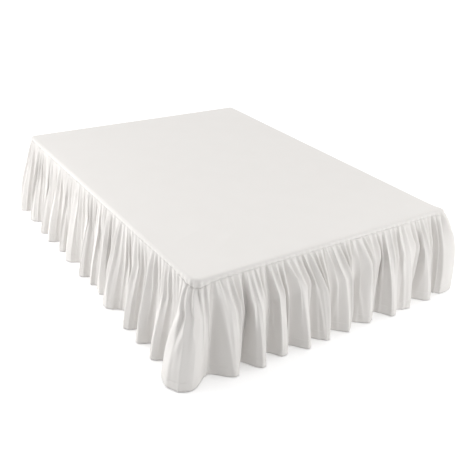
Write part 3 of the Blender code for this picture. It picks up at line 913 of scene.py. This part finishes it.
DECK_CREASES = (
    # from x, from y, to x, to y, width, height
    (-0.70, -0.62, -0.38, -0.50, 0.012, 0.0010),
    (-0.62, -0.80, -0.25, -0.58, 0.016, 0.0012),
    (-0.56, -0.40, -0.30, -0.16, 0.014, -0.0009),
    (-0.30, -0.84, -0.02, -0.66, 0.014, 0.0010),
    (0.06, -0.86, 0.22, -0.60, 0.018, -0.0009),
    (-0.66, 0.10, -0.36, 0.26, 0.020, 0.0009),
    (0.10, -0.20, 0.46, 0.02, 0.022, 0.0008),
    (0.30, -0.78, 0.62, -0.52, 0.016, 0.0010),
    (-0.48, 0.58, -0.16, 0.50, 0.024, -0.0008),
    (0.22, 0.52, 0.60, 0.72, 0.020, 0.0009),
)


def deck_wave(x, y):
    """Height of the flat cloth over the base: a slow wave, and the creases of the table."""
    wave = SOFT_WAVE
    for per_x, per_y, shift in SLOW_WAVES:
        wave = wave * np.sin(per_x * x + per_y * y + shift)
    height = TOP_LIFT + wave
    for from_x, from_y, to_x, to_y, width, size in DECK_CREASES:
        length = math.hypot(to_x - from_x, to_y - from_y)
        way_x, way_y = (to_x - from_x) / length, (to_y - from_y) / length
        along = ((x - from_x) * way_x + (y - from_y) * way_y) / length
        across = (y - from_y) * way_x - (x - from_x) * way_y
        run = np.clip(along, 0.0, 1.0)
        height = height + size * bell(across, width) * np.sin(math.pi * run) ** 2
    return height


print("Creases in the deck:", len(DECK_CREASES))

# %% [markdown]
# The loops run from a line along the middle of the bed out to the edge, then down over the roll
# to the seam. Their flat places go along with them, for the UV map.

# %% Build the deck
DECK_THICKNESS = 0.0012
DECK_ROLL = 0.017
ROLL_STEPS = 7
BAND_STEPS = 2
TOP_LOOPS = 34
LOOP_CROWDING = 1.2
SPINE_REACH = 0.96
CREASE_FADE = 0.03


def deck_loops():
    """Points and flat places of every loop, from the innermost to the seam."""
    loops, flats = [], []
    top_x, top_y = deck_loop(DECK_ROLL)
    spine_half = (BED_LENGTH - BED_WIDTH) / 2
    spine_y = np.clip(top_y, CENTRE_Y - spine_half, CENTRE_Y + spine_half)
    for step in range(TOP_LOOPS, 0, -1):
        share = SPINE_REACH * (step / TOP_LOOPS) ** LOOP_CROWDING
        x, y = mix(top_x, 0.0, share), mix(top_y, spine_y, share)
        z = DECK_TOP + deck_wave(x, y) * min(1.0, share / CREASE_FADE)
        loops.append(np.stack([x, y, z], axis=1))
        flats.append(np.stack([x, y], axis=1))
    seam = seam_height(STATIONS)
    seam = np.concatenate([seam, np.full(len(top_x) - len(seam), DECK_TOP - SEAM_DROP)])
    for step in range(ROLL_STEPS + BAND_STEPS + 1):
        turn = math.pi / 2 * min(1.0, step / ROLL_STEPS)
        inset, drop = DECK_ROLL * (1 - math.sin(turn)), DECK_ROLL * (1 - math.cos(turn))
        x, y = deck_loop(inset, (turn * 2 / math.pi) ** 2)
        band = max(0.0, (step - ROLL_STEPS) / BAND_STEPS)
        z = mix(DECK_TOP - drop - np.zeros(len(x)), seam, band)
        loops.append(np.stack([x, y, z], axis=1))
        flats.append(np.stack(deck_loop(DECK_ROLL - DECK_ROLL * turn), axis=1))
    return np.array(loops), np.array(flats)


def build_deck():
    """The deck as one thin closed sheet with a UV map in metres."""
    loops, flats = deck_loops()
    count, size = loops.shape[:2]
    number = np.arange(count * size).reshape(count, size)
    after = np.roll(number, -1, axis=1)
    quads = np.stack([number[:-1], number[1:], after[1:], after[:-1]], axis=-1).reshape(-1, 4)
    faces = [number[0].tolist()] + quads.tolist()
    piece = new_piece("deck_cloth", loops.reshape(-1, 3).tolist(), faces)
    lay_flat(piece, np.concatenate([number[0], quads.ravel()]), flats.reshape(-1, 2))
    thicken(piece, DECK_THICKNESS, -1.0)
    return piece


deck = build_deck()
print("Deck faces:", len(deck.data.polygons))

# %% [markdown]
# ## Nodes for the finishes
#
# Each finish is a Principled shader with a little colour and some bump. The same few nodes come
# back in all of them, so small functions add them: arithmetic, noise stretched to a size in each
# direction, a blend of two colours, and a bump.

# %% Helpers for materials


def new_material(name, roughness, specular):
    """A node material with its Principled shader set to a roughness and a specular level."""
    material = bpy.data.materials.new(name)
    material.use_nodes = True
    shader = material.node_tree.nodes["Principled BSDF"]
    shader.inputs["Roughness"].default_value = roughness
    shader.inputs["Specular IOR Level"].default_value = specular
    return material, material.node_tree, shader


def math_node(tree, operation, first, second):
    """One Math node. Each input is a number or another node's output."""
    node = tree.nodes.new("ShaderNodeMath")
    node.operation = operation
    for socket, value in zip(node.inputs, (first, second)):
        if isinstance(value, float):
            socket.default_value = value
        else:
            tree.links.new(value, socket)
    return node.outputs[0]


def noise_node(tree, place, scale, detail):
    """A noise pattern at a place, with its size in each direction."""
    mapping = tree.nodes.new("ShaderNodeMapping")
    mapping.inputs["Scale"].default_value = scale
    tree.links.new(place, mapping.inputs["Vector"])
    noise = tree.nodes.new("ShaderNodeTexNoise")
    noise.inputs["Scale"].default_value = 1.0
    noise.inputs["Detail"].default_value = detail
    tree.links.new(mapping.outputs["Vector"], noise.inputs["Vector"])
    return noise.outputs["Fac"]


def two_colours(tree, share, first, second, shader):
    """A blend of two colours, straight into a shader."""
    blend = tree.nodes.new("ShaderNodeMix")
    blend.data_type = "RGBA"
    tree.links.new(share, blend.inputs["Factor"])
    blend.inputs[6].default_value = first
    blend.inputs[7].default_value = second
    tree.links.new(blend.outputs[2], shader.inputs["Base Color"])


def bump_node(tree, height, strength, distance, shader):
    """Bump from a height pattern, straight into a shader."""
    bump = tree.nodes.new("ShaderNodeBump")
    bump.inputs["Strength"].default_value = strength
    bump.inputs["Distance"].default_value = distance
    tree.links.new(height, bump.inputs["Height"])
    tree.links.new(bump.outputs["Normal"], shader.inputs["Normal"])


print("Finishes start from the Principled shader")

# %% [markdown]
# ## White cotton
#
# Plain-weave cotton is matt, slightly warm, and never quite even, but its colour hardly changes,
# so most of it is bump. The weave is the product of two sine waves on the cloth's own UV map, one
# for each thread direction, and noise stretched both ways makes the thicker threads that run
# through here and there. An image of cloth would do too, but it would repeat. The stitches and
# all that is solid have no UV map, so their finishes read Object coordinates.

# %% White cotton finish
COTTON_COLOURS = ((0.688, 0.670, 0.651, 1.0), (0.666, 0.647, 0.627, 1.0))
THREAD_PITCH = 0.0008
WEAVE_SHARE = 0.5
SLUB_SCALE = 90.0
SLUB_STRETCH = 9
CLOUD_SCALE = 7.0
COTTON_BUMP = (0.35, 0.0006)
THREAD_NOISE = ((1800.0, 1800.0, 3600.0), 1.0)
THREAD_BUMP = (0.3, 0.0002)


def weave_height(tree, place, pitch):
    """Height of a plain weave: threads that pass over and under each other."""
    split = tree.nodes.new("ShaderNodeSeparateXYZ")
    tree.links.new(place, split.inputs[0])
    waves = []
    for axis in ("X", "Y"):
        turns = math_node(tree, "MULTIPLY", split.outputs[axis], math.pi / pitch)
        waves.append(math_node(tree, "SINE", turns, 0.0))
    return math_node(tree, "MULTIPLY", waves[0], waves[1])


def white_cotton():
    """Cotton on the UV map of the cloth, in metres."""
    material, tree, shader = new_material("white cotton", 0.92, 0.25)
    flat = tree.nodes.new("ShaderNodeUVMap")
    flat.uv_map = "cloth"
    place = flat.outputs["UV"]
    clouds = noise_node(tree, place, (CLOUD_SCALE,) * 3, 3.0)
    two_colours(tree, clouds, *COTTON_COLOURS, shader)
    across = noise_node(tree, place, (SLUB_SCALE, SLUB_STRETCH * SLUB_SCALE, 1.0), 2.0)
    down = noise_node(tree, place, (SLUB_STRETCH * SLUB_SCALE, SLUB_SCALE, 1.0), 2.0)
    slubs = math_node(tree, "ADD", across, down)
    weave = weave_height(tree, place, THREAD_PITCH)
    weave = math_node(tree, "MULTIPLY", weave, WEAVE_SHARE)
    height = math_node(tree, "ADD", slubs, weave)
    bump_node(tree, height, *COTTON_BUMP, shader)
    return material


def object_finish(name, roughness, specular, noise, colours, bump, pitch=None):
    """A finish on Object coordinates: noise between two colours, bump of the noise or a weave."""
    material, tree, shader = new_material(name, roughness, specular)
    place = tree.nodes.new("ShaderNodeTexCoord").outputs["Object"]
    height = noise_node(tree, place, *noise)
    two_colours(tree, height, *colours, shader)
    if pitch:
        height = weave_height(tree, place, pitch)
    bump_node(tree, height, *bump, shader)
    return material


def dress(pieces, material):
    """Give pieces one material."""
    for piece in pieces:
        piece.data.materials.append(material)


dress([deck] + [ruffle[0] for ruffle in ruffles.values()], white_cotton())
twisted = object_finish("white thread", 0.70, 0.35, THREAD_NOISE, COTTON_COLOURS, THREAD_BUMP)
dress(stitches.values(), twisted)
print("Cotton threads lie", THREAD_PITCH * 1000, "mm apart")

# %% [markdown]
# ## What hides underneath
#
# The base and its legs are the solids themselves, since their shapes are right. They show from
# the head end, so they get plain finishes: a grey woven cover, and oiled wood whose rings are
# stretched along the leg. Their meshes are not touched: only their material slots are filled.

# %% Base cover and leg wood
COVER_COLOURS = ((0.52, 0.50, 0.47, 1.0), (0.42, 0.40, 0.37, 1.0))
COVER_NOISE = ((260.0, 260.0, 260.0), 3.0)
COVER_BUMP = (0.3, 0.0008)
COVER_PITCH = 0.0022
WOOD_COLOURS = ((0.42, 0.26, 0.14, 1.0), (0.24, 0.13, 0.06, 1.0))
WOOD_NOISE = ((160.0, 160.0, 9.0), 5.0)
WOOD_BUMP = (0.15, 0.0006)

cover = object_finish("base cover", 0.95, 0.2, COVER_NOISE, COVER_COLOURS, COVER_BUMP, COVER_PITCH)
wood = object_finish("leg wood", 0.45, 0.5, WOOD_NOISE, WOOD_COLOURS, WOOD_BUMP)
for name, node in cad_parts.items():
    if name == "base" or name.startswith("leg_"):
        node.material_slots[0].material = cover if name == "base" else wood
        print(name, "is finished with", node.material_slots[0].material.name)

# %% [markdown]
# ## Softboxes
#
# Three square softboxes model the folds. A large one stands off the left side and lights its
# ridges from the head end, a small one close by fills the hollows in the middle of that side, and
# a weak one before the foot keeps its folds from going flat. Bare lamps would do it too, but their
# hard shadows would break up the cloth.

# %% Softboxes
LIGHTS = (
    # name, place, target, size, watts
    ("left_softbox", (-4.4, 2.5, 1.5), (-0.8, 0.5, 0.2), 3.6, 72.0),
    ("left_fill", (-2.2, 0.3, 0.6), (-0.8, 0.2, 0.2), 1.3, 10.5),
    ("right_softbox", (0.9, -2.9, 0.8), (0.25, -1.0, 0.2), 1.5, 19.0),
)


def soft_light(name, place, target, size, watts):
    """A square softbox that faces its target."""
    data = bpy.data.lights.new(name, "AREA")
    data.size = size
    data.energy = watts
    light = bpy.data.objects.new(name, data)
    light.location = place
    light.rotation_euler = (Vector(target) - Vector(place)).to_track_quat("-Z", "Y").to_euler()
    bpy.context.scene.collection.objects.link(light)


for light in LIGHTS:
    soft_light(*light)
    print(light[0], "gives", light[4], "watts")

# %% [markdown]
# ## The floor
#
# The picture was taken in a bright white room with the object cut out of it. A wide white floor
# that glows a little gives the same look, and still keeps a soft shadow under the hem.

# %% White floor
FLOOR_REACH = 30.0
FLOOR_GLOW = 0.08
FLOOR_COLOUR = (0.97, 0.97, 0.97, 1.0)
WHITE = (1.0, 1.0, 1.0, 1.0)

bpy.ops.mesh.primitive_plane_add(size=2 * FLOOR_REACH, location=(0.0, 0.0, 0.0))
floor = bpy.context.active_object
floor.name = "floor"
floor_paint, _, shader = new_material("white floor", 1.0, 0.0)
shader.inputs["Base Color"].default_value = FLOOR_COLOUR
shader.inputs["Emission Color"].default_value = WHITE
shader.inputs["Emission Strength"].default_value = FLOOR_GLOW
floor.data.materials.append(floor_paint)
print("The floor is", 2 * FLOOR_REACH, "m wide")

# %% [markdown]
# ## The dome
#
# A dome of soft light stands over the floor. It is bright above, behind and at both sides and
# darker towards the camera, which is what gives white cloth its grey folds: its strength is a
# mean, less a slope times how far a direction leans to the dim side. The dome itself would show
# as a grey wall in pictures from behind, so what the eye sees of it is plain white.

# %% Dome of light
DOME_MEAN = 0.77
DOME_SLOPE = 0.80
DIM_HEADING = math.radians(-36)
DIM_SINK = -0.66
WALL_GLOW = 1.0

dome = bpy.data.worlds.new("studio dome")
bpy.context.scene.world = dome
dome.use_nodes = True
nodes, links = dome.node_tree.nodes, dome.node_tree.links
background = nodes["Background"]
background.inputs["Color"].default_value = WHITE
direction = nodes.new("ShaderNodeTexCoord")
lean_to_dim = nodes.new("ShaderNodeVectorMath")
lean_to_dim.operation = "DOT_PRODUCT"
lean_to_dim.inputs[1].default_value = (math.sin(DIM_HEADING), -math.cos(DIM_HEADING), DIM_SINK)
links.new(direction.outputs["Generated"], lean_to_dim.inputs[0])
strength = nodes.new("ShaderNodeMath")
strength.operation = "MULTIPLY_ADD"
strength.inputs[1].default_value = -DOME_SLOPE
strength.inputs[2].default_value = DOME_MEAN
links.new(lean_to_dim.outputs["Value"], strength.inputs[0])
seen = nodes.new("ShaderNodeLightPath")
pale_wall = nodes.new("ShaderNodeMix")
pale_wall.inputs["B"].default_value = WALL_GLOW
links.new(seen.outputs["Is Camera Ray"], pale_wall.inputs["Factor"])
links.new(strength.outputs["Value"], pale_wall.inputs["A"])
links.new(pale_wall.outputs["Result"], background.inputs["Strength"])
bpy.context.scene.view_settings.view_transform = "Standard"
print("The dome's mean strength is", DOME_MEAN)

# %% [markdown]
# ## What rides, what replaces what
#
# The object has no joints, so every piece rides on the one body. The deck is cut a little larger
# than the bed, for the cloth that rolls over its edge.

for side in ruffles:
    piece, points, flat = ruffles[side]
    thread = stitches[side]
    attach(piece, "root")
    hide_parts("ruffle_" + side)
    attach(thread, "root")
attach(deck, "root")
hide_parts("deck")
